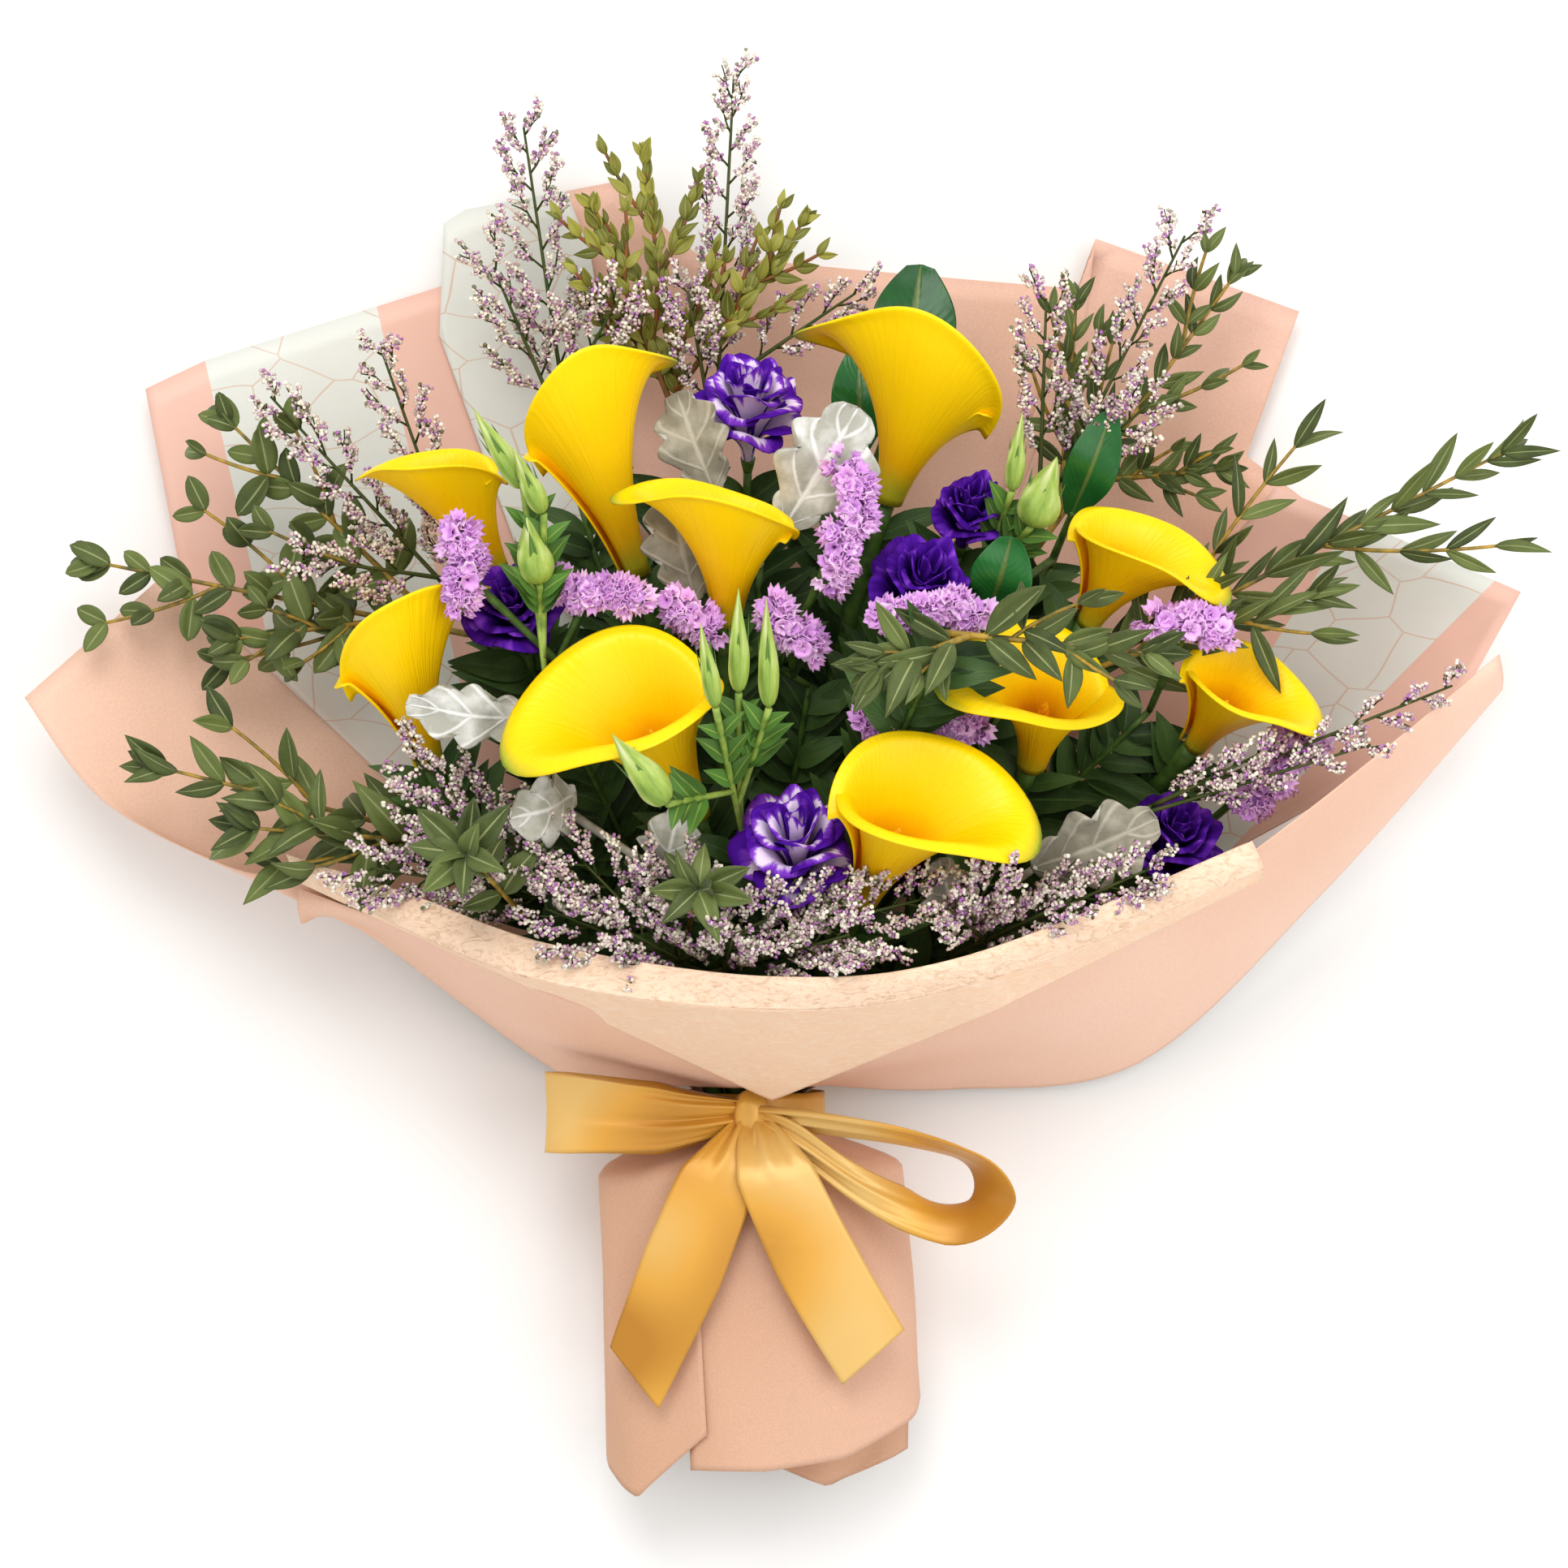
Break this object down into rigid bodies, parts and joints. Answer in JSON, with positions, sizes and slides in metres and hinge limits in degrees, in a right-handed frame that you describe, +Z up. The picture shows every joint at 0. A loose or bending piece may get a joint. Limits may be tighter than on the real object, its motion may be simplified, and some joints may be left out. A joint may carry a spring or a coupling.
{
  "type": "wrapped arum lily bouquet",
  "caption": "Wrapped bouquet of yellow arum lilies with purple and lilac filler flowers and foliage, tied with a satin bow, lying on its back.",
  "frame": {"origin": "middle of the flat underside of the back sheet of paper, on the surface the bouquet lies on", "axes": "+Y from the tied waist to the flower heads, +Z up out of the face of the bouquet, +X to the right seen from above"},
  "size_m": [0.6231, 0.5941, 0.2274],
  "materials": {
    "peach_paper": "matte, slightly crumpled wrapping paper",
    "cream_tissue": "soft fibrous tissue with fine crinkles",
    "printed_paper": "smooth white paper with fine tan crackle lines and a peach border",
    "satin_ribbon": "glossy gold satin",
    "lily_yellow": "waxy yellow spathe, orange in the throat and green at the tip",
    "lisianthus_purple": "velvety purple petals with pale streaks",
    "statice_lilac": "papery lilac florets",
    "sea_lavender": "tiny papery white and mauve florets on brown-green twigs",
    "eucalyptus_green": "dull grey-green leaves on golden stems",
    "box_gold_green": "small olive leaves on reddish stems",
    "silver_felt": "felted silver-grey leaves with pale veins",
    "bud_green": "smooth pale green buds",
    "gloss_green": "glossy dark green leaves",
    "stem_green": "smooth green stems"
  },
  "bodies": {
    "root": {"boxwood_top": "box_gold_green", "broad_leaf_right": "gloss_green", "broad_leaf_top": "gloss_green", "buds_centre": "bud_green", "buds_left": "bud_green", "buds_right": "bud_green", "dusty_miller_centre": "silver_felt", "dusty_miller_left": "silver_felt", "dusty_miller_right": "silver_felt", "eucalyptus_front": "eucalyptus_green", "eucalyptus_front_left": "eucalyptus_green", "eucalyptus_left": "eucalyptus_green", "eucalyptus_lower_left": "eucalyptus_green", "eucalyptus_middle_right": "eucalyptus_green", "eucalyptus_right": "eucalyptus_green", "eucalyptus_upper_right": "eucalyptus_green", "handle_paper_front": "peach_paper", "handle_paper_left": "peach_paper", "lily_centre": "lily_yellow", "lily_centre_left": "lily_yellow", "lily_far_right": "lily_yellow", "lily_front": "lily_yellow", "lily_left": "lily_yellow", "lily_right": "lily_yellow", "lily_right_back": "lily_yellow", "lily_tall_left": "lily_yellow", "lily_upper_left": "lily_yellow", "lily_upper_right": "lily_yellow", "lisianthus_centre_right": "lisianthus_purple", "lisianthus_front": "lisianthus_purple", "lisianthus_left": "lisianthus_purple", "lisianthus_right": "lisianthus_purple", "lisianthus_top": "lisianthus_purple", "lisianthus_upper_right": "lisianthus_purple", "paper_back": "peach_paper", "paper_back_left": "printed_paper", "paper_back_right": "peach_paper", "paper_fold_left": "printed_paper", "paper_front_band": "cream_tissue", "paper_front_left": "peach_paper", "paper_left_wing": "peach_paper", "paper_right": "printed_paper", "paper_right_wing": "peach_paper", "ribbon_band": "satin_ribbon", "ribbon_bow": "satin_ribbon", "sea_lavender_front": "sea_lavender", "sea_lavender_front_left": "sea_lavender", "sea_lavender_front_right": "sea_lavender", "sea_lavender_left": "sea_lavender", "sea_lavender_right": "sea_lavender", "sea_lavender_top": "sea_lavender", "sea_lavender_top_left": "sea_lavender", "sea_lavender_upper_right": "sea_lavender", "statice_centre": "statice_lilac", "statice_far_right": "statice_lilac", "statice_left": "statice_lilac", "statice_right": "statice_lilac", "statice_right_back": "statice_lilac", "stem_bundle": "stem_green", "tissue_collar": "cream_tissue"}
  },
  "joints": []
}
